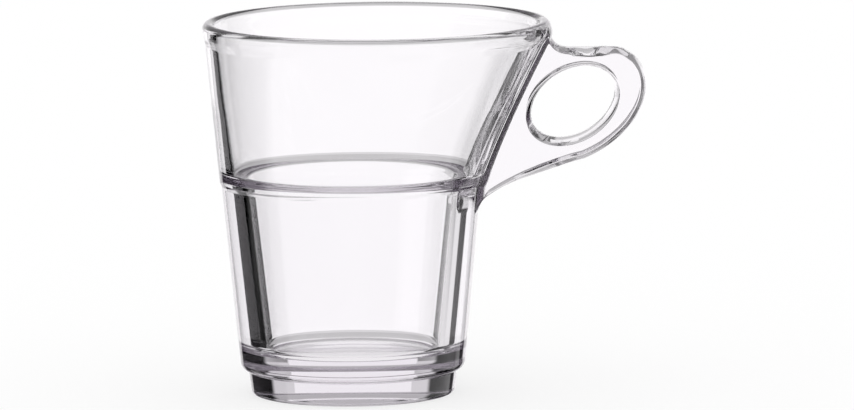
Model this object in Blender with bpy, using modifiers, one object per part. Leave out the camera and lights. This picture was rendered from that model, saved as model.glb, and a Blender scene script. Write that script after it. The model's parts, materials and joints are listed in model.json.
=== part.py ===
"""Stackable glass coffee cup with a leaning bowl and a flat ring handle. Metres, +Z up."""

import math

import bmesh
import bpy

MM = 0.001

# Bowl heights above the table
RIM_Z = 92.3 * MM
LEDGE_Z = 54.0 * MM
FLOOR_Z = 11.0 * MM
SHOULDER_Z = 6.6 * MM

# Step in the outer wall, just below the inner ledge that the next cup's shoulder stands on
STEP_BELOW_LEDGE = 1.2 * MM
STEP_HEIGHT = 1.2 * MM
STEP_TOP_Z = LEDGE_Z - STEP_BELOW_LEDGE
STEP_BOTTOM_Z = STEP_TOP_Z - STEP_HEIGHT

# Bowl radii on the upright side, away from the handle
RIM_RADIUS = 36.05 * MM
STEP_RADIUS = 32.4 * MM
STEP_DEPTH = 0.35 * MM
RIM_WALL = 2.05 * MM
LEDGE_WALL = 3.1 * MM
BASE_WALL = 6.75 * MM

# Rolled rim
RIM_BEAD = 0.35 * MM
RIM_BEAD_HEIGHT = 5.5 * MM
RIM_BEAD_BLEND = 2.0 * MM
RIM_FLAT = 0.1 * MM
LIP_RADIUS = RIM_RADIUS + RIM_BEAD

# Lean of the upper bowl towards the handle, from the step up to the upright rim band
RIM_LEAN = 6.55 * MM
LEAN_POWER = 1.22
RIM_BAND = 3.0 * MM

# Foot ring and recessed underside
FOOT_TOP_RADIUS = 25.75 * MM
FOOT_TAPER = 0.75 * MM
FOOT_BOTTOM_RADIUS = FOOT_TOP_RADIUS - FOOT_TAPER
FOOT_RING_WIDTH = 3.0 * MM
SHOULDER_OVERHANG = 1.87 * MM
SHOULDER_RADIUS = FOOT_TOP_RADIUS + SHOULDER_OVERHANG
SHOULDER_DROP = 0.8 * MM
RECESS_MARGIN = 2.0 * MM
RECESS_CURVE = 100.0 * MM

# Room for the foot of the next cup in the lower bowl's mouth when cups are stacked
STACK_CLEARANCE = 0.15 * MM

# Rounded edges of the bowl's section
FLOOR_FILLET = 2.8 * MM
LEDGE_EDGE_ROUND = 0.8 * MM
LEDGE_FILLET = 1.4 * MM
BEAD_ROUND = 2.0 * MM
STEP_ROUND = 0.5 * MM
SHOULDER_ROUND = 2.2 * MM
FOOT_FILLET = 0.3 * MM
FOOT_ROUND = 1.1 * MM
RECESS_ROUND = 2.0 * MM

# Handle plate, with its finger hole as a tilted ellipse on the front face
HANDLE_THICKNESS = 13.0 * MM
HANDLE_EDGE_ROUND = 0.35 * MM
HOLE_DROP = 20.7 * MM
HOLE_STANDOFF = 14.5 * MM
HOLE_LENGTH = 25.2 * MM
HOLE_WIDTH = 18.4 * MM
HOLE_TILT = math.radians(31.0)

# Glass around the hole: past its end, below its side and above its top
GRIP_WIDTH_END = 5.35 * MM
GRIP_WIDTH_SIDE = 2.6 * MM
GRIP_WIDTH_TOP = 2.35 * MM
GRIP_CORNER_ROUND = 4.0 * MM

# Drafted sides: how far they stand out at the middle plane, less towards the top and along the arm
GRIP_BULGE = 2.0 * MM
GRIP_BULGE_DROP = 0.055
HOLE_BULGE = 1.6 * MM
ARM_BULGE = 0.6 * MM
ARM_BULGE_REACH = 16.0 * MM

# Thumb rest pressed into both edges of the handle's top, right of the hole's centre
THUMB_DEPTH = 0.65 * MM
THUMB_HALF = 7.0 * MM
THUMB_OFFSET = 4.2 * MM

# Upper root under the rim, and the arm that runs down to the lower root below the step
ROOT_TOP_FILLET = 2.8 * MM
ROOT_TOP_OUT = 4.5 * MM
ARM_START = math.radians(-104.0)
ARM_REACH = 9.5 * MM
ROOT_LOW_DROP = 4.2 * MM
ROOT_LOW_REACH = 8.0 * MM
ROOT_LOW_SLOPE = math.radians(42.0)
ROOT_OVERLAP = 1.0 * MM
ROOT_DEPTH = 8.0 * MM

# Gap between the bowl's wall and the handle's root
SEAM_GAP = 0.3 * MM

# Glass, with the faint grey tint of a pressed soda-lime cup
GLASS_TINT = (0.94, 0.94, 0.96, 1.0)
GLASS_ROUGHNESS = 0.03
GLASS_IOR = 1.52

# Fineness
WELD = 0.01 * MM
TURN_STEPS = 60
ARC_STEP = math.radians(22.5)
WALL_SPANS = 6
HOLE_POINTS = 36
GRIP_POINTS = 18
ARM_POINTS = 10
FILLET_POINTS = 5
EDGE_STEPS = 2
SIDE_ROWS = 6
RECESS_RINGS = 5
SHARP_ANGLE = math.radians(35.0)


def lean(z):
    """How far the bowl's section at height z lies towards the handle from the foot's axis."""
    rise = (z - STEP_BOTTOM_Z) / (RIM_Z - RIM_BAND - STEP_BOTTOM_Z)
    return RIM_LEAN * min(1.0, max(0.0, rise)) ** LEAN_POWER


def between(z, low, high):
    """Value at height z on the straight line through two (z, value) points."""
    share = (z - low[0]) / (high[0] - low[0])
    return low[1] + share * (high[1] - low[1])


def upper_outer(z):
    return between(z, (STEP_TOP_Z, STEP_RADIUS), (RIM_Z, RIM_RADIUS))


def upper_inner(z):
    low = upper_outer(LEDGE_Z) - LEDGE_WALL
    return between(z, (LEDGE_Z, low), (RIM_Z, RIM_RADIUS - RIM_WALL))


def lower_outer(z):
    top = upper_outer(STEP_BOTTOM_Z) - STEP_DEPTH
    return between(z, (SHOULDER_Z, SHOULDER_RADIUS), (STEP_BOTTOM_Z, top))


def lower_inner(z):
    low = lower_outer(FLOOR_Z) - BASE_WALL
    return between(z, (FLOOR_Z, low), (LEDGE_Z, FOOT_TOP_RADIUS + STACK_CLEARANCE))


def wall_x(z):
    """Outermost point of the leaning wall under the handle, from the foot's axis."""
    return upper_outer(z) + 2.0 * lean(z)


def rounded(corners):
    """Points of a profile whose corners, as (radius, height, rounding), are turned into arcs."""
    points = []
    for index, (r, z, rounding) in enumerate(corners):
        if rounding == 0.0:
            points.append((r, z))
            continue
        before, after = corners[index - 1], corners[index + 1]
        back = math.atan2(before[1] - z, before[0] - r)
        ahead = math.atan2(after[1] - z, after[0] - r)
        opening = (ahead - back + math.pi) % math.tau - math.pi
        setback = rounding / math.tan(abs(opening) / 2.0)
        centre_way = back + opening / 2.0
        centre_distance = rounding / math.sin(abs(opening) / 2.0)
        centre = (r + centre_distance * math.cos(centre_way), z + centre_distance * math.sin(centre_way))
        start = (r + setback * math.cos(back), z + setback * math.sin(back))
        start_angle = math.atan2(start[1] - centre[1], start[0] - centre[0])
        turn = -math.copysign(math.pi - abs(opening), opening)
        count = max(1, math.ceil(abs(turn) / ARC_STEP))
        for step in range(count + 1):
            angle = start_angle + turn * step / count
            points.append((centre[0] + rounding * math.cos(angle), centre[1] + rounding * math.sin(angle)))
    return points


def leaned_profile(points):
    """Profile with its long upper stretches divided, and each radius widened by the lean at its height."""
    divided = [points[0]]
    span = (RIM_Z - LEDGE_Z) / WALL_SPANS
    for (r0, z0), (r1, z1) in zip(points, points[1:]):
        upper = max(z0, z1) > STEP_BOTTOM_Z
        count = max(1, round(abs(z1 - z0) / span)) if upper else 1
        for step in range(1, count + 1):
            share = step / count
            divided.append((r0 + share * (r1 - r0), z0 + share * (z1 - z0)))
    return [(r + lean(z) if r > 0.0 else 0.0, z) for r, z in divided]


def outer_corners(grow):
    """Corners of the bowl's outer side from under the rim down to the step, moved out by grow."""
    bead_z = RIM_Z - RIM_BEAD_HEIGHT
    blend_z = bead_z + RIM_BEAD_BLEND
    return [
        (upper_outer(blend_z) + RIM_BEAD + grow, blend_z, BEAD_ROUND),
        (upper_outer(bead_z) + grow, bead_z, BEAD_ROUND),
        (upper_outer(STEP_TOP_Z) + grow, STEP_TOP_Z, STEP_ROUND),
        (lower_outer(STEP_BOTTOM_Z) + grow, STEP_BOTTOM_Z, STEP_ROUND),
    ]


def turned(name, points):
    """Mesh made by turning a leaned profile about the foot's axis and sliding each level by its lean."""
    profile = bpy.data.meshes.new(name + "_profile")
    edges = [(i, i + 1) for i in range(len(points) - 1)]
    profile.from_pydata([(r, 0.0, z) for r, z in points], edges, [])
    blank = bpy.data.objects.new(name + "_blank", profile)
    bpy.context.scene.collection.objects.link(blank)
    screw = blank.modifiers.new("turn", "SCREW")
    screw.axis = "Z"
    screw.angle = math.tau
    screw.steps = TURN_STEPS
    screw.render_steps = TURN_STEPS
    screw.use_merge_vertices = True
    screw.merge_threshold = WELD
    mesh = evaluated_mesh(blank, name)
    for vertex in mesh.vertices:
        vertex.co.x += lean(vertex.co.z)
    return mesh


def evaluated_mesh(source, name):
    """The mesh of an object after its modifiers; the object itself is removed."""
    graph = bpy.context.evaluated_depsgraph_get()
    mesh = bpy.data.meshes.new_from_object(source.evaluated_get(graph))
    mesh.name = name
    bpy.data.objects.remove(source)
    return mesh


def recess_dome(foot_inner):
    """Points of the domed underside, which rises from the foot ring's inner edge to the axis."""
    edge_r = foot_inner - RECESS_MARGIN
    edge_z = RECESS_MARGIN * edge_r / RECESS_CURVE
    radii = [edge_r * (1.0 - step / RECESS_RINGS) for step in range(RECESS_RINGS + 1)]
    return [(r, edge_z + (edge_r ** 2 - r ** 2) / (2.0 * RECESS_CURVE)) for r in radii]


def cup_body_mesh():
    rim_round = (LIP_RADIUS - upper_inner(RIM_Z) - RIM_FLAT) / 2.0
    foot_inner = FOOT_BOTTOM_RADIUS - FOOT_RING_WIDTH
    dome = recess_dome(foot_inner)
    corners = [
        (0.0, FLOOR_Z, 0.0),
        (lower_inner(FLOOR_Z), FLOOR_Z, FLOOR_FILLET),
        (lower_inner(LEDGE_Z), LEDGE_Z, LEDGE_EDGE_ROUND),
        (upper_inner(LEDGE_Z), LEDGE_Z, LEDGE_FILLET),
        (upper_inner(RIM_Z), RIM_Z, rim_round),
        (LIP_RADIUS, RIM_Z, rim_round),
        *outer_corners(0.0),
        (SHOULDER_RADIUS, SHOULDER_Z, SHOULDER_ROUND),
        (FOOT_TOP_RADIUS, SHOULDER_Z - SHOULDER_DROP, FOOT_FILLET),
        (FOOT_BOTTOM_RADIUS, 0.0, FOOT_ROUND),
        (foot_inner, 0.0, RECESS_ROUND),
        *[(r, z, 0.0) for r, z in dome],
    ]
    return turned("cup_body", leaned_profile(rounded(corners)))


def seat_mesh():
    """Solid of the bowl's outside, a seam's width larger, that trims the handle's root."""
    corners = [
        (0.0, RIM_Z, 0.0),
        (LIP_RADIUS + SEAM_GAP, RIM_Z, 0.0),
        *outer_corners(SEAM_GAP),
        (SHOULDER_RADIUS + SEAM_GAP, SHOULDER_Z, 0.0),
        (0.0, SHOULDER_Z, 0.0),
    ]
    return turned("handle_seat", leaned_profile(rounded(corners)))


def ellipse_point(centre, half_length, half_width, angle):
    """Point of an ellipse tilted like the finger hole."""
    along, across = half_length * math.cos(angle), half_width * math.sin(angle)
    x = centre[0] + along * math.cos(HOLE_TILT) - across * math.sin(HOLE_TILT)
    z = centre[1] + along * math.sin(HOLE_TILT) + across * math.cos(HOLE_TILT)
    return (x, z)


def hole_centre():
    z = RIM_Z - HOLE_DROP
    return (wall_x(z) + HOLE_STANDOFF, z)


def hole_outline():
    half_length, half_width = HOLE_LENGTH / 2.0, HOLE_WIDTH / 2.0
    angles = [math.tau * step / HOLE_POINTS for step in range(HOLE_POINTS)]
    return [ellipse_point(hole_centre(), half_length, half_width, angle) for angle in angles]


def grip_corners():
    """Corners of the handle's front outline from its upper root round the ring's end to its lower root."""
    centre = hole_centre()
    half_length = HOLE_LENGTH / 2.0 + GRIP_WIDTH_END
    half_width = HOLE_WIDTH / 2.0 + GRIP_WIDTH_SIDE
    top_z = max(z for _, z in hole_outline()) + GRIP_WIDTH_TOP
    corners = upper_root(top_z)
    tallest = math.hypot(half_length * math.sin(HOLE_TILT), half_width * math.cos(HOLE_TILT))
    tallest_at = math.atan2(half_width * math.cos(HOLE_TILT), half_length * math.sin(HOLE_TILT))
    meets_top = tallest_at - math.acos(min(1.0, (top_z - centre[1]) / tallest))
    corners.append((*ellipse_point(centre, half_length, half_width, meets_top), GRIP_CORNER_ROUND))
    for step in range(2, GRIP_POINTS + 1):
        angle = meets_top + (ARM_START - meets_top) * step / GRIP_POINTS
        corners.append((*ellipse_point(centre, half_length, half_width, angle), 0.0))
    end, ahead = corners[-1], ellipse_point(centre, half_length, half_width, ARM_START - ARC_STEP)
    way = math.atan2(ahead[1] - end[1], ahead[0] - end[0])
    return corners + lower_root(end, way)


def upper_root(top_z):
    """Concave fillet that runs from inside the rim down to the handle's flat top."""
    radius = ROOT_TOP_FILLET + GRIP_BULGE
    centre_z = top_z + radius
    centre_x = wall_x(centre_z) + ROOT_TOP_OUT
    corners = [(wall_x(centre_z) - ROOT_DEPTH, centre_z, 0.0)]
    for step in range(FILLET_POINTS + 1):
        angle = math.pi + math.pi / 2.0 * step / FILLET_POINTS
        corners.append((centre_x + radius * math.cos(angle), centre_z + radius * math.sin(angle), 0.0))
    return corners


def lower_root(start, way):
    """Arm that leaves the ring along way and sweeps down into the wall below the step."""
    end_z = STEP_BOTTOM_Z - ROOT_LOW_DROP
    end_x = lower_outer(end_z) - ROOT_OVERLAP
    end_way = (math.cos(ROOT_LOW_SLOPE), math.sin(ROOT_LOW_SLOPE))
    knots = [
        (start[0], start[1]),
        (start[0] + ARM_REACH * math.cos(way), start[1] + ARM_REACH * math.sin(way)),
        (end_x + ROOT_LOW_REACH * end_way[0], end_z + ROOT_LOW_REACH * end_way[1]),
        (end_x, end_z),
    ]
    corners = []
    for step in range(1, ARM_POINTS + 1):
        t = step / ARM_POINTS
        weights = ((1 - t) ** 3, 3 * t * (1 - t) ** 2, 3 * t * t * (1 - t), t ** 3)
        x = sum(weight * knot[0] for weight, knot in zip(weights, knots))
        z = sum(weight * knot[1] for weight, knot in zip(weights, knots))
        corners.append((x, z, 0.0))
    corners.append((end_x - ROOT_DEPTH, end_z, 0.0))
    return corners


def grip_bulge(x, z):
    """How far the handle's outer side stands out at the middle plane, at a point of its outline."""
    rise = z - hole_centre()[1]
    if rise > 0.0:
        return GRIP_BULGE - GRIP_BULGE_DROP * rise
    far = min(1.0, max(0.0, (x - wall_x(z)) / ARM_BULGE_REACH))
    return ARM_BULGE + (GRIP_BULGE - ARM_BULGE) * far * far * (3.0 - 2.0 * far)


def thumb_dip(x, z):
    """Depth of the thumb rest at the edges of the handle's faces, at a point of its outline."""
    centre = hole_centre()
    along = (x - centre[0] - THUMB_OFFSET) / THUMB_HALF
    if z < centre[1] or abs(along) > 1.0:
        return 0.0
    return THUMB_DEPTH * math.cos(math.pi / 2.0 * along) ** 2


def side_levels():
    """Levels (depth, share, inset) of the handle's side from its front face to its back face.

    The share is 0 at the middle plane and 1 at the rounded edges, which the inset draws in.
    """
    straight = HANDLE_THICKNESS / 2.0 - HANDLE_EDGE_ROUND
    arc = [math.pi / 2.0 * step / EDGE_STEPS for step in range(EDGE_STEPS + 1)]
    edge = []
    for angle in arc:
        depth = -straight - HANDLE_EDGE_ROUND * math.cos(angle)
        edge.append((depth, 1.0, HANDLE_EDGE_ROUND * (1.0 - math.sin(angle))))
    depths = [straight * (2.0 * row / SIDE_ROWS - 1.0) for row in range(1, SIDE_ROWS)]
    middle = [(depth, abs(depth) / straight, 0.0) for depth in depths]
    return edge + middle + [(-depth, share, inset) for depth, share, inset in reversed(edge)]


def side_ring(outline, bulges, dips, share, inset):
    """Outline moved to its left, as it runs, by the height of the drafted side at one level."""
    ring = []
    for index, (x, z) in enumerate(outline):
        before, after = outline[index - 1], outline[(index + 1) % len(outline)]
        way = math.atan2(after[1] - before[1], after[0] - before[0]) + math.pi / 2.0
        offset = HANDLE_EDGE_ROUND + (bulges[index] - HANDLE_EDGE_ROUND) * (1.0 - share ** 2)
        offset -= dips[index] * share ** 2 + inset
        ring.append((x + offset * math.cos(way), z + offset * math.sin(way)))
    return ring


def plate_mesh():
    """Handle plate in the cup's middle plane, with drafted sides round its outline and its finger hole."""
    grip, hole = rounded(grip_corners()), hole_outline()
    sides = [
        (grip, [grip_bulge(x, z) for x, z in grip], [thumb_dip(x, z) for x, z in grip]),
        (hole, [HOLE_BULGE] * len(hole), [0.0] * len(hole)),
    ]
    form = bmesh.new()
    face_edges = {0: [], 1: []}
    for outline, bulges, dips in sides:
        rows = []
        for depth, share, inset in side_levels():
            ring = side_ring(outline, bulges, dips, share, inset)
            rows.append([form.verts.new((x, depth, z)) for x, z in ring])
        count = len(outline)
        for row, after in zip(rows, rows[1:]):
            for i in range(count):
                form.faces.new((row[i], row[(i + 1) % count], after[(i + 1) % count], after[i]))
        for face, row in enumerate((rows[0], rows[-1])):
            face_edges[face] += [form.edges.get((row[i - 1], row[i])) for i in range(count)]
    for edges in face_edges.values():
        bmesh.ops.triangle_fill(form, use_beauty=True, edges=edges)
    bmesh.ops.recalc_face_normals(form, faces=form.faces)
    mesh = bpy.data.meshes.new("handle")
    form.to_mesh(mesh)
    form.free()
    return mesh


def glass(name):
    """Clear pressed glass."""
    material = bpy.data.materials.new(name)
    material.use_nodes = True
    shader = material.node_tree.nodes["Principled BSDF"]
    shader.inputs["Base Color"].default_value = GLASS_TINT
    shader.inputs["Roughness"].default_value = GLASS_ROUGHNESS
    shader.inputs["Metallic"].default_value = 0.0
    shader.inputs["IOR"].default_value = GLASS_IOR
    shader.inputs["Transmission Weight"].default_value = 1.0
    return material


def add_part(mesh, material, collection, parent):
    mesh.materials.clear()
    mesh.materials.append(material)
    mesh.shade_smooth()
    mesh.set_sharp_from_angle(angle=SHARP_ANGLE)
    part = bpy.data.objects.new(mesh.name, mesh)
    part.parent = parent
    collection.objects.link(part)
    return part


def add_cutter(mesh, collection, parent):
    cutter = bpy.data.objects.new(mesh.name, mesh)
    cutter.parent = parent
    cutter.hide_render = True
    cutter.display_type = "WIRE"
    collection.objects.link(cutter)
    return cutter


def new_collection(name):
    collection = bpy.data.collections.new(name)
    bpy.context.scene.collection.children.link(collection)
    return collection


def main():
    for existing in list(bpy.data.objects):
        bpy.data.objects.remove(existing)
    parts, cutters = new_collection("glass_coffee_cup"), new_collection("cutters")

    body_mesh, handle_mesh = cup_body_mesh(), plate_mesh()
    left = min(vertex.co.x for vertex in body_mesh.vertices)
    right = max(vertex.co.x for vertex in handle_mesh.vertices)
    footprint = bpy.data.objects.new("footprint_centre", None)
    footprint.location.x = -(left + right) / 2.0
    parts.objects.link(footprint)

    add_part(body_mesh, glass("body_glass"), parts, footprint)
    handle = add_part(handle_mesh, glass("handle_glass"), parts, footprint)
    trim = handle.modifiers.new("trim_to_wall", "BOOLEAN")
    trim.operation = "DIFFERENCE"
    trim.solver = "EXACT"
    trim.object = add_cutter(seat_mesh(), cutters, footprint)


main()
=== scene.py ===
"""Looks of the glass coffee cup: one seamless body of clear pressed glass in a white studio."""

import json
import math

import bmesh
import bpy
import numpy as np
from mathutils import Matrix, Vector
from mathutils.geometry import delaunay_2d_cdt
from mathutils.kdtree import KDTree


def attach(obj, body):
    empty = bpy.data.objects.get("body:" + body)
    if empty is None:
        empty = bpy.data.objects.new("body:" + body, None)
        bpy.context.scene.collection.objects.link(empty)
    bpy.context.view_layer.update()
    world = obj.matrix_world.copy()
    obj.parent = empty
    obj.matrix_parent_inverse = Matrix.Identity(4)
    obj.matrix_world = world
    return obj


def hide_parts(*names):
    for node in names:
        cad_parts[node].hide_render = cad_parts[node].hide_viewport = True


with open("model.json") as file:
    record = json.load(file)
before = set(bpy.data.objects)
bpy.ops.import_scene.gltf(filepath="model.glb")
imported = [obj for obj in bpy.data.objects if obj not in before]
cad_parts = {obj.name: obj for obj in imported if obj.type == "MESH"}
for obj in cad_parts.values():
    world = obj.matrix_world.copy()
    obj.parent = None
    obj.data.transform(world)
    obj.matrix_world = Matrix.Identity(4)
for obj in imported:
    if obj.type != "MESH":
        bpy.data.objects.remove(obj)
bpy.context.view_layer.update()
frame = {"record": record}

MM = 0.001
MOUNTS = {mount["name"]: mount for mount in frame["record"]["mounts"]}
AXIS_X = MOUNTS["foot_ring"]["pos_m"][0]

# Bowl heights above the table
RIM_Z = 92.3 * MM
LEDGE_Z = 54.0 * MM
FLOOR_Z = 11.0 * MM
SHOULDER_Z = 6.6 * MM
STEP_TOP_Z = 52.8 * MM
STEP_BOTTOM_Z = 51.6 * MM

# Bowl radii on the upright side, away from the handle, with a fuller lip than the CAD has
RIM_RADIUS = 36.05 * MM
STEP_RADIUS = 32.4 * MM
STEP_DEPTH = 0.35 * MM
SHOULDER_RADIUS = 27.62 * MM
RIM_WALL = 2.7 * MM
LEDGE_WALL = 3.1 * MM
LOWER_MOUTH_RADIUS = 25.8 * MM
BASE_WALL = 6.75 * MM
LEDGE_SWELL = 0.3 * MM
SWELL_Z = 72.0 * MM

# Rolled rim
RIM_BEAD = 0.35 * MM
RIM_BEAD_HEIGHT = 5.5 * MM
RIM_BEAD_BLEND = 2.0 * MM
RIM_FLAT = 0.1 * MM
LIP_RADIUS = RIM_RADIUS + RIM_BEAD

# Lean of the upper bowl towards the handle
RIM_LEAN = 6.55 * MM
LEAN_POWER = 1.22
RIM_BAND = 3.0 * MM
LEAN_PROBE = 0.8 * MM

# Foot ring and recessed underside
FOOT_TOP_RADIUS = 25.75 * MM
FOOT_BOTTOM_RADIUS = 25.0 * MM
FOOT_RING_WIDTH = 3.0 * MM
SHOULDER_DROP = 0.8 * MM
RECESS_RADIUS = 20.0 * MM
RECESS_CURVE = 100.0 * MM
RECESS_POINTS = 24

# Rounded edges of the bowl's section, with a larger round above the ledge than the CAD has
FLOOR_FILLET = 2.8 * MM
LEDGE_EDGE_ROUND = 0.8 * MM
LEDGE_FILLET = 2.4 * MM
SWELL_ROUND = 300.0 * MM
BEAD_ROUND = 2.0 * MM
STEP_ROUND = 0.5 * MM
SHOULDER_ROUND = 2.2 * MM
FOOT_FILLET = 0.3 * MM
FOOT_ROUND = 1.1 * MM
RECESS_ROUND = 2.0 * MM

# Handle plate, its finger hole, and the glass around the hole
HANDLE_THICKNESS = 13.0 * MM
HANDLE_EDGE_ROUND = 0.35 * MM
GRIP_BULGE = 2.0 * MM
BULGE_DROP = 0.055
HOLE_BULGE = 1.6 * MM
ARM_BULGE = 0.6 * MM
ARM_BULGE_REACH = 16.0 * MM
THUMB_DEPTH = 0.65 * MM
THUMB_HALF = 7.0 * MM
THUMB_OFFSET = 4.2 * MM
HOLE_DROP = 20.7 * MM
HOLE_STANDOFF = 14.5 * MM
HOLE_LENGTH = 25.2 * MM
HOLE_WIDTH = 18.4 * MM
HOLE_TILT = math.radians(31.0)
GRIP_WIDTH_END = 5.35 * MM
GRIP_WIDTH_SIDE = 2.6 * MM
GRIP_WIDTH_TOP = 2.35 * MM
GRIP_CORNER_ROUND = 4.0 * MM

# Handle roots
ROOT_TOP_FILLET = 2.8 * MM
ROOT_TOP_OUT = 4.5 * MM
ARM_START = math.radians(-104.0)
ARM_CHORD = math.radians(22.5)
ARM_REACH = 9.5 * MM
ROOT_LOW_DROP = 4.2 * MM
ROOT_LOW_REACH = 8.0 * MM
ROOT_LOW_SLOPE = math.radians(42.0)
ROOT_OVERLAP = 1.0 * MM
ROOT_DEPTH = 8.0 * MM
ROOT_BITE = 1.0 * MM
ROOT_FILLET = 2.2 * MM

# Glass, with a faint tint and the slow waves that pressing leaves on its skin
GLASS_IOR = 1.52
GLASS_TINTS = ((0.985, 0.984, 0.988, 1.0), (0.996, 0.995, 0.998, 1.0))
GLASS_ROUGHNESS = (0.0, 0.003)
GLASS_ABSORPTION = 5.0
GLASS_ABSORPTION_COLOR = (0.12, 0.0, 0.18, 1.0)
WAVE_SCALE = 110.0
WAVE_HEIGHT = 0.001 * MM
TINT_SCALE = 40.0
PATCH_RANGE = (0.3, 0.7)
NOISE_DETAIL = 1.0
LIGHT_BOUNCES = 32

# Camera, as the photograph was taken
CAMERA_TARGET = Vector((0.3 * MM, 0.0, 46.4 * MM))
CAMERA_ELEVATION = math.radians(7.55)
CAMERA_ROLL = math.radians(0.52)
CAMERA_DISTANCE = 2.55
VIEW_WIDTH = 210.5 * MM
SENSOR_WIDTH = 36.0
CLIP_DISTANCE = 4.0 * CAMERA_DISTANCE

# Studio as the glass sees it: bright panels in a dark room. A row has a panel's left, right, low and high
# edge and the softness of its edges, all in degrees, and its brightness. Where panels overlap, the brightest
# counts. Directions turn from +Y, which is behind the cup, towards +X.
PANELS = (
    (-25.8, 25.2, -18.0, 10.0, 1.8, 1.10),  # backdrop
    (-36.5, 39.5, -1.5, 14.0, 4.0, 0.80),  # wall above it
    (-37.0, 40.0, 10.0, 42.0, 6.0, 0.55),  # top of the wall
    (-85.0, 85.0, 42.0, 75.0, 10.0, 1.00),  # lamp above the wall
    (-19.0, 19.0, -26.0, -16.0, 5.0, 0.75),  # table behind the cup, lit by the backdrop
    (-19.0, 19.0, -44.0, -24.0, 5.0, 0.58),  # table close behind the cup, darker with painted shade of the cup's shadow
    (72.0, 262.0, -60.0, -15.0, 6.0, 0.90),  # table in front of the cup
    (38.5, 49.0, -24.0, -10.5, 2.5, 0.85),  # table on the right, at the back
    (46.0, 90.0, -24.0, -13.0, 2.5, 0.85),  # table on the right
    (-62.0, -36.0, -36.0, -21.0, 4.0, 0.90),  # table on the left
    (-200.0, 200.0, -95.0, -50.0, 8.0, 0.55),  # table under the cup, darker with painted shade of the cup's shadow
    (-118.0, -72.0, -14.0, 10.0, 5.0, 0.95),  # panel on the left
    (108.0, 162.0, -26.0, -5.0, 5.0, 0.85),  # panel in front on the right
    (78.0, 245.0, -15.0, 95.0, 12.0, 0.27),  # room behind the camera
    (-200.0, 200.0, 42.0, 95.0, 12.0, 0.48),  # ceiling
)
STUDIO_TINT = (1.0, 0.985, 1.0, 1.0)
WHITE = (1.0, 1.0, 1.0, 1.0)
BLACK = (0.0, 0.0, 0.0, 1.0)
DISC_SIDES = 128
FLOOR_RADIUS = 0.9
FLOOR_DROP = 0.05 * MM
FLOOR_COLOR = (0.3, 0.3, 0.3, 1.0)
FLOOR_GLOW = 0.7
# Painted light: glow of the disc under the foot, which stands in for the lit table seen through the base
SEAT_GLOW = 0.95

# Fineness of the glass mesh
ARC_STEP = math.radians(9.0)
UPPER_SPAN = 0.8 * MM
TURN_FINE = math.radians(0.8)
TURN_FINE_HALF = math.radians(18.0)
TURN_COARSE = math.radians(2.5)
HOLE_POINTS = 240
GRIP_POINTS = 128
GRIP_CORNER_POINTS = GRIP_POINTS // 8
ARM_POINTS = 64
FILLET_POINTS = 24
OUTLINE_SPAN = 0.45 * MM
EDGE_STEPS = 6
SIDE_ROWS = 20
FACE_FINE = 0.7 * MM
FACE_COARSE = 2.0 * MM
FACE_FINE_REACH = 5.0 * MM
FACE_MARGIN = 0.35 * MM
FACE_MERGE = 1e-9
PROBE = 0.02 * MM
SETTLE_REACH = ROOT_FILLET * 1.05
SETTLE_DEPTH = ROOT_BITE * 0.8
SETTLE_ROUNDS = 5
SETTLE_GAP = 0.0005 * MM
LEAST_STEEPNESS = 0.05


def lean(z):
    """How far the bowl's section at height z lies towards the handle from the foot's axis."""
    rise = (z - STEP_BOTTOM_Z) / (RIM_Z - RIM_BAND - STEP_BOTTOM_Z)
    return RIM_LEAN * np.clip(rise, 0.0, 1.0) ** LEAN_POWER


def lean_slope(z):
    """Lean gained per height at height z."""
    return (lean(z + LEAN_PROBE) - lean(z - LEAN_PROBE)) / (2.0 * LEAN_PROBE)


def between(z, low, high):
    """Value at height z on the straight line through two (z, value) points."""
    share = (z - low[0]) / (high[0] - low[0])
    return low[1] + share * (high[1] - low[1])


def upper_outer(z):
    """Radius of the upper bowl's outer side at height z."""
    return between(z, (STEP_TOP_Z, STEP_RADIUS), (RIM_Z, RIM_RADIUS))


def upper_inner(z):
    """Radius of the upper bowl's inner side at height z."""
    low = upper_outer(LEDGE_Z) - LEDGE_WALL
    return between(z, (LEDGE_Z, low), (RIM_Z, RIM_RADIUS - RIM_WALL))


def lower_outer(z):
    """Radius of the lower bowl's outer side at height z."""
    top = upper_outer(STEP_BOTTOM_Z) - STEP_DEPTH
    return between(z, (SHOULDER_Z, SHOULDER_RADIUS), (STEP_BOTTOM_Z, top))


def lower_inner(z):
    """Radius of the lower bowl's inner side at height z."""
    low = lower_outer(FLOOR_Z) - BASE_WALL
    return between(z, (FLOOR_Z, low), (LEDGE_Z, LOWER_MOUTH_RADIUS))


def wall_x(z):
    """Outermost point of the leaning wall under the handle, from the foot's axis."""
    return upper_outer(z) + 2.0 * lean(z)


def rounded(corners):
    """Points (radius, height, tangent) of a profile whose corners (radius, height, rounding) become arcs."""
    points = []
    for index, (r, z, rounding) in enumerate(corners):
        before, after = corners[index - 1], corners[(index + 1) % len(corners)]
        back = math.atan2(before[1] - z, before[0] - r)
        ahead = math.atan2(after[1] - z, after[0] - r)
        if rounding == 0.0:
            way = ahead if index == 0 else back + math.pi
            points.append((r, z, math.cos(way), math.sin(way)))
            continue
        opening = (ahead - back + math.pi) % math.tau - math.pi
        setback = rounding / math.tan(abs(opening) / 2.0)
        centre_way = back + opening / 2.0
        centre_distance = rounding / math.sin(abs(opening) / 2.0)
        centre_r = r + centre_distance * math.cos(centre_way)
        centre_z = z + centre_distance * math.sin(centre_way)
        start_r = r + setback * math.cos(back)
        start_z = z + setback * math.sin(back)
        start_angle = math.atan2(start_z - centre_z, start_r - centre_r)
        turn = -math.copysign(math.pi - abs(opening), opening)
        count = max(2, math.ceil(abs(turn) / ARC_STEP))
        sense = math.copysign(1.0, turn)
        for step in range(count + 1):
            angle = start_angle + turn * step / count
            point = (centre_r + rounding * math.cos(angle), centre_z + rounding * math.sin(angle))
            points.append((*point, -sense * math.sin(angle), sense * math.cos(angle)))
    return points


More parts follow.
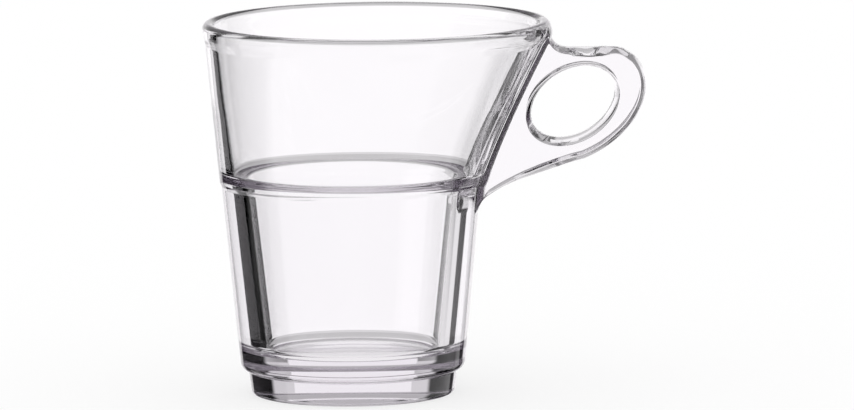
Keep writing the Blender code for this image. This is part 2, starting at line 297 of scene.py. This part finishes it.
def divided(points, span, low_z):
    """Profile with the stretches above low_z cut into pieces no longer than span."""
    result = [points[0]]
    for first, second in zip(points, points[1:]):
        length = math.dist(first[:2], second[:2])
        upper = max(first[1], second[1]) > low_z
        count = max(1, math.ceil(length / span)) if upper else 1
        for step in range(1, count):
            share = step / count
            r = first[0] + share * (second[0] - first[0])
            z = first[1] + share * (second[1] - first[1])
            way = ((second[0] - first[0]) / length, (second[1] - first[1]) / length)
            result.append((r, z, *way))
        result.append(second)
    return result


def outer_corners(grow):
    """Corners of the bowl's outer side from under the rim down to the step, moved out by grow."""
    bead_z = RIM_Z - RIM_BEAD_HEIGHT
    blend_z = bead_z + RIM_BEAD_BLEND
    return [
        (upper_outer(blend_z) + RIM_BEAD + grow, blend_z, BEAD_ROUND),
        (upper_outer(bead_z) + grow, bead_z, BEAD_ROUND),
        (upper_outer(STEP_TOP_Z) + grow, STEP_TOP_Z, STEP_ROUND),
        (lower_outer(STEP_BOTTOM_Z) + grow, STEP_BOTTOM_Z, STEP_ROUND),
    ]


def bowl_profile():
    """Profile from the middle of the inner floor over the rim and down to the middle of the underside."""
    rim_round = (LIP_RADIUS - upper_inner(RIM_Z) - RIM_FLAT) / 2.0
    foot_inner = FOOT_BOTTOM_RADIUS - FOOT_RING_WIDTH
    recess_edge_z = (foot_inner - RECESS_RADIUS) * RECESS_RADIUS / RECESS_CURVE
    corners = [
        (0.0, FLOOR_Z, 0.0),
        (lower_inner(FLOOR_Z), FLOOR_Z, FLOOR_FILLET),
        (lower_inner(LEDGE_Z), LEDGE_Z, LEDGE_EDGE_ROUND),
        (upper_inner(LEDGE_Z) - LEDGE_SWELL, LEDGE_Z, LEDGE_FILLET),
        (upper_inner(SWELL_Z), SWELL_Z, SWELL_ROUND),
        (upper_inner(RIM_Z), RIM_Z, rim_round),
        (LIP_RADIUS, RIM_Z, rim_round),
        *outer_corners(0.0),
        (SHOULDER_RADIUS, SHOULDER_Z, SHOULDER_ROUND),
        (FOOT_TOP_RADIUS, SHOULDER_Z - SHOULDER_DROP, FOOT_FILLET),
        (FOOT_BOTTOM_RADIUS, 0.0, FOOT_ROUND),
        (foot_inner, 0.0, RECESS_ROUND),
        (RECESS_RADIUS, recess_edge_z, 0.0),
    ]
    profile = divided(rounded(corners), UPPER_SPAN, STEP_BOTTOM_Z - ROOT_LOW_DROP - ROOT_FILLET)
    for step in range(1, RECESS_POINTS + 1):
        r = RECESS_RADIUS * (1.0 - step / RECESS_POINTS)
        z = recess_edge_z + (RECESS_RADIUS ** 2 - r ** 2) / (2.0 * RECESS_CURVE)
        length = math.hypot(1.0, r / RECESS_CURVE)
        profile.append((r, z, -1.0 / length, r / RECESS_CURVE / length))
    return profile


def core_profile():
    """Profile of a solid just inside the bowl's outer wall, which the handle's root reaches into."""
    corners = [
        (0.0, RIM_Z, 0.0),
        (LIP_RADIUS - ROOT_BITE, RIM_Z, 0.0),
        *[(r, z, 0.0) for r, z, _ in outer_corners(-ROOT_BITE)],
        (SHOULDER_RADIUS - ROOT_BITE, SHOULDER_Z, 0.0),
        (0.0, SHOULDER_Z, 0.0),
    ]
    return divided(rounded(corners), FACE_COARSE, STEP_BOTTOM_Z)


def turn_angles():
    """Angles round the bowl, close together at the handle."""
    fine = math.ceil(TURN_FINE_HALF / TURN_FINE)
    near = [TURN_FINE_HALF * step / fine for step in range(-fine, fine)]
    rest = math.tau - 2.0 * TURN_FINE_HALF
    coarse = math.ceil(rest / TURN_COARSE)
    return np.array(near + [TURN_FINE_HALF + rest * step / coarse for step in range(coarse)])


def turned(name, profile):
    """Leaning solid of revolution, with its vertices' exact normals."""
    angles = turn_angles()
    cos, sin = np.cos(angles), np.sin(angles)
    places, normals, rings = [], [], []
    for r, z, along_r, along_z in profile:
        shift = lean(z) if r > 0.0 else 0.0
        slope = lean_slope(z) * along_z
        rings.append(len(places))
        if r == 0.0:
            places.append((0.0, 0.0, z))
            normals.append((0.0, 0.0, along_r))
            continue
        places += zip(shift + (r + shift) * cos, (r + shift) * sin, [z] * len(angles))
        normals += zip(-cos * along_z, -sin * along_z, along_r + slope + slope * cos)
    count = len(angles)
    corners = []
    for first, point in zip(rings, profile):
        corners.append([first + (i if point[0] > 0.0 else 0) for i in range(count)])
    faces = []
    for top, low in zip(corners, corners[1:]):
        for i in range(count):
            face = (top[i], low[i], low[(i + 1) % count], top[(i + 1) % count])
            faces.append(tuple(dict.fromkeys(face)))
    mesh = bpy.data.meshes.new(name)
    mesh.from_pydata([tuple(map(float, place)) for place in places], [], faces)
    return mesh, np.array(normals, float)


def ellipse_point(centre, half_length, half_width, angle):
    """Point of an ellipse tilted like the finger hole."""
    along, across = half_length * math.cos(angle), half_width * math.sin(angle)
    x = centre[0] + along * math.cos(HOLE_TILT) - across * math.sin(HOLE_TILT)
    z = centre[1] + along * math.sin(HOLE_TILT) + across * math.cos(HOLE_TILT)
    return (x, z)


def hole_centre():
    """Middle of the finger hole, from the foot's axis."""
    z = RIM_Z - HOLE_DROP
    return (wall_x(z) + HOLE_STANDOFF, z)


def hole_outline():
    """Outline of the finger hole in the handle's faces."""
    half_length, half_width = HOLE_LENGTH / 2.0, HOLE_WIDTH / 2.0
    angles = [math.tau * step / HOLE_POINTS for step in range(HOLE_POINTS)]
    return [ellipse_point(hole_centre(), half_length, half_width, angle) for angle in angles]


def grip_corners():
    """Corners of the handle's front outline from its upper root round the ring's end to its lower root."""
    centre = hole_centre()
    half_length = HOLE_LENGTH / 2.0 + GRIP_WIDTH_END
    half_width = HOLE_WIDTH / 2.0 + GRIP_WIDTH_SIDE
    top_z = max(z for _, z in hole_outline()) + GRIP_WIDTH_TOP
    corners = upper_root(top_z)
    tallest = math.hypot(half_length * math.sin(HOLE_TILT), half_width * math.cos(HOLE_TILT))
    tallest_at = math.atan2(half_width * math.cos(HOLE_TILT), half_length * math.sin(HOLE_TILT))
    meets_top = tallest_at - math.acos(min(1.0, (top_z - centre[1]) / tallest))
    corners.append((*ellipse_point(centre, half_length, half_width, meets_top), GRIP_CORNER_ROUND))
    for step in range(GRIP_CORNER_POINTS, GRIP_POINTS + 1):
        angle = meets_top + (ARM_START - meets_top) * step / GRIP_POINTS
        corners.append((*ellipse_point(centre, half_length, half_width, angle), 0.0))
    end, ahead = corners[-1], ellipse_point(centre, half_length, half_width, ARM_START - ARM_CHORD)
    way = math.atan2(ahead[1] - end[1], ahead[0] - end[0])
    return corners + lower_root(end, way)


def upper_root(top_z):
    """Concave fillet that runs from inside the rim down to the handle's flat top."""
    radius = ROOT_TOP_FILLET + GRIP_BULGE
    centre_z = top_z + radius
    centre_x = wall_x(centre_z) + ROOT_TOP_OUT
    corners = [(wall_x(centre_z) - ROOT_DEPTH, centre_z, 0.0)]
    for step in range(FILLET_POINTS + 1):
        angle = math.pi + math.pi / 2.0 * step / FILLET_POINTS
        corners.append((centre_x + radius * math.cos(angle), centre_z + radius * math.sin(angle), 0.0))
    return corners


def lower_root(start, way):
    """Arm that leaves the ring along way and sweeps down into the wall below the step."""
    end_z = STEP_BOTTOM_Z - ROOT_LOW_DROP
    end_x = lower_outer(end_z) - ROOT_OVERLAP
    end_way = (math.cos(ROOT_LOW_SLOPE), math.sin(ROOT_LOW_SLOPE))
    knots = np.array([
        (start[0], start[1]),
        (start[0] + ARM_REACH * math.cos(way), start[1] + ARM_REACH * math.sin(way)),
        (end_x + ROOT_LOW_REACH * end_way[0], end_z + ROOT_LOW_REACH * end_way[1]),
        (end_x, end_z),
    ])
    corners = []
    for step in range(1, ARM_POINTS + 1):
        t = step / ARM_POINTS
        weights = np.array([(1 - t) ** 3, 3 * t * (1 - t) ** 2, 3 * t * t * (1 - t), t ** 3])
        corners.append((*(weights @ knots), 0.0))
    corners.append((end_x - ROOT_DEPTH, end_z, 0.0))
    return corners


def closed_outline(points):
    """Closed outline with its long stretches divided."""
    result = []
    for first, second in zip(points, points[1:] + points[:1]):
        count = max(1, math.ceil(math.dist(first, second) / OUTLINE_SPAN))
        for step in range(count):
            share = step / count
            x = first[0] + share * (second[0] - first[0])
            z = first[1] + share * (second[1] - first[1])
            result.append((x, z))
    return np.array(result)


def signed_distance(points, outline):
    """Distance of points to a closed outline, negative inside it."""
    starts, ends = outline, np.roll(outline, -1, axis=0)
    sides = ends - starts
    nearest = np.full(len(points), np.inf)
    inside = np.zeros(len(points), bool)
    for start, side, end in zip(starts, sides, ends):
        offset = points - start
        share = np.clip(offset @ side / (side @ side), 0.0, 1.0)
        gap = offset - share[:, None] * side
        nearest = np.minimum(nearest, np.einsum("ij,ij->i", gap, gap))
        crosses = (start[1] > points[:, 1]) != (end[1] > points[:, 1])
        if side[1] != 0.0:
            crossing_x = start[0] + (points[:, 1] - start[1]) * side[0] / side[1]
            inside ^= crosses & (points[:, 0] < crossing_x)
    return np.where(inside, -1.0, 1.0) * np.sqrt(nearest)


# Outlines of the handle's faces, and the bowl's profile with its outer side from the shoulder up
GRIP = closed_outline([point[:2] for point in rounded(grip_corners())])
HOLE = closed_outline(hole_outline())
PROFILE = bowl_profile()
RIM_TOP = max(range(len(PROFILE)), key=lambda i: (PROFILE[i][1], PROFILE[i][0]))
OUTER = np.array([point[:2] for point in PROFILE[RIM_TOP:] if point[1] > SHOULDER_Z])[::-1]


def plate_distance(x, z):
    """Distance to the handle's front outline, negative in its glass."""
    points = np.column_stack((x, z))
    return np.maximum(signed_distance(points, GRIP), -signed_distance(points, HOLE))


def grip_bulge(x, z):
    """How far the handle's outer side stands out at its middle plane: less at its top and along the arm."""
    rise = z - hole_centre()[1]
    far = np.clip((x - wall_x(z)) / ARM_BULGE_REACH, 0.0, 1.0)
    arm = ARM_BULGE + (GRIP_BULGE - ARM_BULGE) * far * far * (3.0 - 2.0 * far)
    return np.where(rise > 0.0, GRIP_BULGE - BULGE_DROP * rise, arm)


def hole_bulge(z):
    """How far the hole's side stands into the hole at its middle plane: less at its top."""
    return HOLE_BULGE - BULGE_DROP * np.maximum(z - hole_centre()[1], 0.0)


def thumb_dip(x, z):
    """Depth of the thumb rest at the edges of the handle's faces."""
    centre = hole_centre()
    along = np.clip((x - centre[0] - THUMB_OFFSET) / THUMB_HALF, -1.0, 1.0)
    return np.where(z > centre[1], THUMB_DEPTH * np.cos(math.pi / 2.0 * along) ** 2, 0.0)


def side_offset(bulge, dip, depth):
    """How far a side stands outside the face's outline at a depth from the middle plane."""
    share = np.clip(np.abs(depth) / (HANDLE_THICKNESS / 2.0 - HANDLE_EDGE_ROUND), 0.0, 1.0)
    return HANDLE_EDGE_ROUND + (bulge - HANDLE_EDGE_ROUND) * (1.0 - share ** 2) - dip * share ** 2


def handle_distance(places):
    """Distance to the handle's plate with its drafted sides and slightly rounded edges."""
    x, depth, z = places.T
    points = np.column_stack((x, z))
    grip = signed_distance(points, GRIP) - side_offset(grip_bulge(x, z), thumb_dip(x, z), depth)
    hole = -signed_distance(points, HOLE) - side_offset(hole_bulge(z), 0.0, depth)
    side = np.maximum(grip, hole) + HANDLE_EDGE_ROUND
    deep = np.abs(depth) - HANDLE_THICKNESS / 2.0 + HANDLE_EDGE_ROUND
    outside = np.hypot(np.maximum(side, 0.0), np.maximum(deep, 0.0))
    return outside + np.minimum(np.maximum(side, deep), 0.0) - HANDLE_EDGE_ROUND


def wall_distance(places):
    """Distance to the bowl's outer wall, measured level with the table."""
    shift = lean(places[:, 2])
    outer = np.interp(places[:, 2], OUTER[:, 1], OUTER[:, 0])
    return np.hypot(places[:, 0] - shift, places[:, 1]) - shift - outer


def glass_distance(places):
    """Distance to the outer skin of the bowl and the handle, joined by a round fillet."""
    wall, handle = wall_distance(places), handle_distance(places)
    hollow = np.hypot(np.maximum(ROOT_FILLET - wall, 0.0), np.maximum(ROOT_FILLET - handle, 0.0))
    return np.maximum(ROOT_FILLET, np.minimum(wall, handle)) - hollow


def gradient(distance, places):
    """Slope of a distance at places, along each axis."""
    columns = []
    for axis in np.eye(3) * PROBE:
        columns.append((distance(places + axis) - distance(places - axis)) / (2.0 * PROBE))
    return np.column_stack(columns)


def outline_normals(outline):
    """Directions across a closed outline, pointing to its right as it runs."""
    along = np.roll(outline, -1, axis=0) - np.roll(outline, 1, axis=0)
    across = np.column_stack((along[:, 1], -along[:, 0]))
    return across / np.linalg.norm(across, axis=1)[:, None]


def out_of_glass(outline):
    """Directions across one of the handle's outlines that point out of its glass."""
    across = outline_normals(outline)
    probe = outline[:1] + across[:1] * PROBE
    return across if plate_distance(*probe.T)[0] > 0.0 else -across


def face_points():
    """Points that fill the handle's flat face, close together near the wall."""
    points = []
    low, high = GRIP.min(axis=0), GRIP.max(axis=0)
    for span, near in ((FACE_FINE, True), (FACE_COARSE, False)):
        xs, zs = np.meshgrid(np.arange(low[0], high[0], span), np.arange(low[1], high[1], span))
        x, z = xs.ravel(), zs.ravel()
        from_wall = wall_distance(np.column_stack((x, np.zeros(len(x)), z)))
        inside = plate_distance(x, z) < -FACE_MARGIN
        wanted = np.abs(from_wall) < FACE_FINE_REACH if near else from_wall >= FACE_FINE_REACH
        points += [Vector(point) for point in np.column_stack((x, z))[inside & wanted]]
    return points


def flat_face():
    """Points and triangles of the handle's flat face, and where the outlines' points are among them."""
    outlines = [Vector(point) for rim in (GRIP, HOLE) for point in rim]
    edges = []
    for first, rim in ((0, GRIP), (len(GRIP), HOLE)):
        edges += [(first + i, first + (i + 1) % len(rim)) for i in range(len(rim))]
    filled = delaunay_2d_cdt(outlines + face_points(), edges, [], 0, FACE_MERGE)
    flat = np.array([tuple(point) for point in filled[0]])
    triangles = np.array(filled[2])
    middles = flat[triangles].mean(axis=1)
    triangles = triangles[plate_distance(*middles.T) < 0.0]
    order = {original: new for new, originals in enumerate(filled[3]) for original in originals}
    return flat, triangles, order


def side_steps():
    """Steps (outward, depth) over a side of the handle, from the front face's edge to the back face's."""
    side = HANDLE_THICKNESS / 2.0 - HANDLE_EDGE_ROUND
    edge = []
    for step in range(1, EDGE_STEPS + 1):
        angle = math.pi / 2.0 * step / EDGE_STEPS
        outward = HANDLE_EDGE_ROUND * (math.sin(angle) - 1.0)
        edge.append((outward, -side - HANDLE_EDGE_ROUND * math.cos(angle)))
    middle = [(0.0, -side + 2.0 * side * row / SIDE_ROWS) for row in range(1, SIDE_ROWS)]
    return edge + middle + [(outward, -depth) for outward, depth in reversed(edge)]


def plate_mesh():
    """Handle plate with rounded edges, in the cup's middle plane."""
    flat, triangles, order = flat_face()
    half = HANDLE_THICKNESS / 2.0
    form = bmesh.new()
    front = [form.verts.new((x, -half, z)) for x, z in flat]
    back = [form.verts.new((x, half, z)) for x, z in flat]
    for a, b, c in triangles:
        form.faces.new((front[a], front[b], front[c]))
        form.faces.new((back[c], back[b], back[a]))
    sides = (
        (0, GRIP, grip_bulge(*GRIP.T), thumb_dip(*GRIP.T)),
        (len(GRIP), HOLE, hole_bulge(HOLE[:, 1]), 0.0),
    )
    for first, rim, bulge, dip in sides:
        outward = out_of_glass(rim)
        places = [order[first + i] for i in range(len(rim))]
        rows = [[front[place] for place in places]]
        for out, depth in side_steps():
            offset = np.reshape(side_offset(bulge, dip, depth) + out, (-1, 1))
            rows.append([form.verts.new((x, depth, z)) for x, z in rim + outward * offset])
        rows.append([back[place] for place in places])
        for row, after in zip(rows, rows[1:]):
            for i in range(len(rim)):
                j = (i + 1) % len(rim)
                form.faces.new((row[i], row[j], after[j], after[i]))
    loose = [vertex for vertex in form.verts if not vertex.link_faces]
    bmesh.ops.delete(form, geom=loose, context="VERTS")
    bmesh.ops.recalc_face_normals(form, faces=form.faces)
    mesh = bpy.data.meshes.new("handle_plate")
    form.to_mesh(mesh)
    form.free()
    return mesh


def combined(mesh, other, operation):
    """Mesh of two solids joined or cut by a Boolean."""
    first = bpy.data.objects.new("first_solid", mesh)
    second = bpy.data.objects.new("second_solid", other)
    for solid in (first, second):
        bpy.context.scene.collection.objects.link(solid)
    boolean = first.modifiers.new("combine", "BOOLEAN")
    boolean.operation = operation
    boolean.solver = "EXACT"
    boolean.object = second
    graph = bpy.context.evaluated_depsgraph_get()
    result = bpy.data.meshes.new_from_object(first.evaluated_get(graph))
    for solid in (first, second):
        bpy.data.objects.remove(solid)
    return result


def settled(places, normals):
    """Moves the vertices round the handle onto the filleted skin and turns their normals to it."""
    on_skin = np.abs(places[:, 1]) < HANDLE_THICKNESS / 2.0 + SETTLE_REACH
    on_skin &= wall_distance(places) > -SETTLE_DEPTH
    on_skin[on_skin] = handle_distance(places[on_skin]) < SETTLE_REACH
    moving = places[on_skin]
    for _ in range(SETTLE_ROUNDS):
        gap = glass_distance(moving)
        off = np.abs(gap) > SETTLE_GAP
        slope = gradient(glass_distance, moving[off])
        steep = np.maximum(np.einsum("ij,ij->i", slope, slope), LEAST_STEEPNESS)
        moving[off] -= slope * (gap[off] / steep)[:, None]
    places[on_skin] = moving
    normals[on_skin] = gradient(glass_distance, moving)
    return places, normals


def glass_mesh():
    """Bowl and handle as one closed skin with a fillet at the handle's root."""
    bowl, bowl_normals = turned("bowl", PROFILE)
    core, _ = turned("core", core_profile())
    root = combined(plate_mesh(), core, "DIFFERENCE")
    known = KDTree(len(bowl.vertices))
    for vertex in bowl.vertices:
        known.insert(vertex.co, vertex.index)
    known.balance()
    mesh = combined(bowl, root, "UNION")
    form = bmesh.new()
    form.from_mesh(mesh)
    bmesh.ops.triangulate(form, faces=form.faces)
    form.to_mesh(mesh)
    form.free()
    mesh.update()

    places = np.array([tuple(vertex.co) for vertex in mesh.vertices])
    normals = np.array([bowl_normals[known.find(vertex.co)[1]] for vertex in mesh.vertices])
    places, normals = settled(places, normals)
    normals /= np.linalg.norm(normals, axis=1)[:, None]
    places[:, 0] += AXIS_X
    mesh.vertices.foreach_set("co", places.ravel())
    mesh.update()
    mesh.shade_smooth()
    mesh.normals_split_custom_set_from_vertices([tuple(normal) for normal in normals])
    mesh.name = "cup_glass"
    return mesh


class Wires:
    """Short forms for the nodes of one tree."""

    def __init__(self, tree):
        self.nodes = tree.nodes
        self.link = tree.links.new

    def math(self, operation, *values):
        """Result of a math node that takes numbers or other nodes' results."""
        node = self.nodes.new("ShaderNodeMath")
        node.operation = operation
        for socket, value in zip(node.inputs, values):
            self.feed(socket, value)
        return node.outputs[0]

    def step(self, value, low, high, first=0.0, second=1.0):
        """Soft step from first to second while value goes from low to high."""
        node = self.nodes.new("ShaderNodeMapRange")
        node.interpolation_type = "SMOOTHSTEP"
        self.feed(node.inputs["Value"], value)
        for name, number in (("From Min", low), ("From Max", high), ("To Min", first), ("To Max", second)):
            node.inputs[name].default_value = number
        return node.outputs["Result"]

    def inside(self, value, half, soft):
        """1 where value lies within half of zero, falling to 0 over a soft edge."""
        return self.step(self.math("ABSOLUTE", value), half - soft / 2.0, half + soft / 2.0, 1.0, 0.0)

    def noise(self, scale):
        """Smooth noise that stays with the object."""
        place = self.nodes.new("ShaderNodeTexCoord")
        node = self.nodes.new("ShaderNodeTexNoise")
        node.inputs["Scale"].default_value = scale
        node.inputs["Detail"].default_value = NOISE_DETAIL
        self.link(place.outputs["Object"], node.inputs["Vector"])
        return node.outputs["Fac"]

    def feed(self, socket, value):
        """Links an output to a socket, or sets the socket to a number."""
        if isinstance(value, bpy.types.NodeSocket):
            self.link(value, socket)
        else:
            socket.default_value = value


def glass_material():
    """Clear pressed soda-lime glass."""
    material = bpy.data.materials.new("clear_glass")
    material.use_nodes = True
    wires = Wires(material.node_tree)
    shader = wires.nodes["Principled BSDF"]
    shader.inputs["IOR"].default_value = GLASS_IOR
    shader.inputs["Transmission Weight"].default_value = 1.0

    patches = wires.noise(TINT_SCALE)
    tint = wires.nodes.new("ShaderNodeMix")
    tint.data_type = "RGBA"
    wires.link(patches, tint.inputs["Factor"])
    tint.inputs["A"].default_value, tint.inputs["B"].default_value = GLASS_TINTS
    wires.link(tint.outputs["Result"], shader.inputs["Base Color"])
    wires.link(wires.step(patches, *PATCH_RANGE, *GLASS_ROUGHNESS), shader.inputs["Roughness"])

    bump = wires.nodes.new("ShaderNodeBump")
    bump.inputs["Distance"].default_value = WAVE_HEIGHT
    wires.link(wires.noise(WAVE_SCALE), bump.inputs["Height"])
    wires.link(bump.outputs["Normal"], shader.inputs["Normal"])

    inside = wires.nodes.new("ShaderNodeVolumeAbsorption")
    inside.inputs["Color"].default_value = GLASS_ABSORPTION_COLOR
    inside.inputs["Density"].default_value = GLASS_ABSORPTION
    wires.link(inside.outputs[0], wires.nodes["Material Output"].inputs["Volume"])
    return material


def add_cup():
    """The glass, which stands for both CAD nodes."""
    cup = bpy.data.objects.new("cup_glass", glass_mesh())
    bpy.context.scene.collection.objects.link(cup)
    cup.data.materials.clear()
    cup.data.materials.append(glass_material())
    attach(cup, "root")
    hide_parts("cup_body", "handle")


def add_camera():
    """Camera at the photograph's distance, angle and framing."""
    camera = bpy.data.objects.new("camera", bpy.data.cameras.new("camera"))
    bpy.context.scene.collection.objects.link(camera)
    offset = Vector((0.0, -math.cos(CAMERA_ELEVATION), math.sin(CAMERA_ELEVATION)))
    camera.location = CAMERA_TARGET + offset * CAMERA_DISTANCE
    look = (-offset).to_track_quat("-Z", "Y").to_matrix()
    camera.rotation_euler = (look @ Matrix.Rotation(-CAMERA_ROLL, 3, "Z")).to_euler()
    camera.data.sensor_width = SENSOR_WIDTH
    camera.data.lens = SENSOR_WIDTH * CAMERA_DISTANCE / VIEW_WIDTH
    camera.data.clip_end = CLIP_DISTANCE
    bpy.context.scene.camera = camera


def add_world():
    """White studio for the camera and the table. The glass sees bright panels and the dark between them."""
    world = bpy.data.worlds.new("studio")
    bpy.context.scene.world = world
    world.use_nodes = True
    wires = Wires(world.node_tree)
    way = wires.nodes.new("ShaderNodeSeparateXYZ")
    wires.link(wires.nodes.new("ShaderNodeTexCoord").outputs["Generated"], way.inputs[0])
    turn = wires.math("DEGREES", wires.math("ARCTAN2", way.outputs["X"], way.outputs["Y"]))
    rise = wires.math("DEGREES", wires.math("ARCSINE", way.outputs["Z"]))

    light = 0.0
    for left, right, low, high, soft, level in PANELS:
        aside = wires.math("WRAP", wires.math("SUBTRACT", turn, (left + right) / 2.0), 180.0, -180.0)
        across = wires.inside(aside, (right - left) / 2.0, soft)
        upright = wires.inside(wires.math("SUBTRACT", rise, (low + high) / 2.0), (high - low) / 2.0, soft)
        shine = wires.math("MULTIPLY", wires.math("MULTIPLY", across, upright), level)
        light = wires.math("MAXIMUM", light, shine)
    seen = wires.nodes.new("ShaderNodeBackground")
    seen.inputs["Color"].default_value = STUDIO_TINT
    wires.link(light, seen.inputs["Strength"])

    plain = wires.nodes["Background"]
    plain.inputs["Color"].default_value = WHITE
    rays = wires.nodes.new("ShaderNodeLightPath")
    through = wires.math("MAXIMUM", rays.outputs["Is Transmission Ray"], rays.outputs["Is Glossy Ray"])
    mix = wires.nodes.new("ShaderNodeMixShader")
    wires.link(through, mix.inputs["Fac"])
    wires.link(plain.outputs[0], mix.inputs[1])
    wires.link(seen.outputs[0], mix.inputs[2])
    wires.link(mix.outputs[0], wires.nodes["World Output"].inputs["Surface"])


def disc(name, radius, centre_x, z):
    """Level disc of the stage, with a new material's nodes."""
    form = bmesh.new()
    bmesh.ops.create_circle(form, cap_ends=True, segments=DISC_SIDES, radius=radius)
    mesh = bpy.data.meshes.new(name)
    form.to_mesh(mesh)
    form.free()
    stage = bpy.data.objects.new(name, mesh)
    bpy.context.scene.collection.objects.link(stage)
    stage.location = (centre_x, 0.0, z)
    material = bpy.data.materials.new(name)
    material.use_nodes = True
    mesh.materials.append(material)
    return stage, Wires(material.node_tree)


def make_matte(wires, color, glow_color, ray, glow):
    """Matte finish that also glows for one kind of ray."""
    shader = wires.nodes["Principled BSDF"]
    shader.inputs["Base Color"].default_value = color
    shader.inputs["Roughness"].default_value = 1.0
    shader.inputs["Specular IOR Level"].default_value = 0.0
    shader.inputs["Emission Color"].default_value = glow_color
    rays = wires.nodes.new("ShaderNodeLightPath")
    wires.link(wires.math("MULTIPLY", rays.outputs[ray], glow), shader.inputs["Emission Strength"])


def add_floor():
    """Pale table that keeps the cup's shadow. The glass sees the table in the studio around it."""
    floor, wires = disc("floor", FLOOR_RADIUS, 0.0, -FLOOR_DROP)
    floor.visible_transmission = floor.visible_glossy = False
    make_matte(wires, FLOOR_COLOR, WHITE, "Is Camera Ray", FLOOR_GLOW)


def add_glowing_seat():
    """Glowing disc that paints the lit table right under the foot as light, as it shows through the cup's
    base.
    """
    seat, wires = disc("table_under_foot", FOOT_BOTTOM_RADIUS - FOOT_ROUND, AXIS_X, -FLOOR_DROP / 2.0)
    seat.visible_camera = seat.visible_diffuse = seat.visible_shadow = False
    make_matte(wires, BLACK, STUDIO_TINT, "Is Transmission Ray", SEAT_GLOW)


add_cup()
add_camera()
add_world()
add_floor()
add_glowing_seat()
bpy.context.scene.view_settings.view_transform = "Standard"
cycles = bpy.context.scene.cycles
cycles.max_bounces = cycles.transmission_bounces = cycles.glossy_bounces = LIGHT_BOUNCES
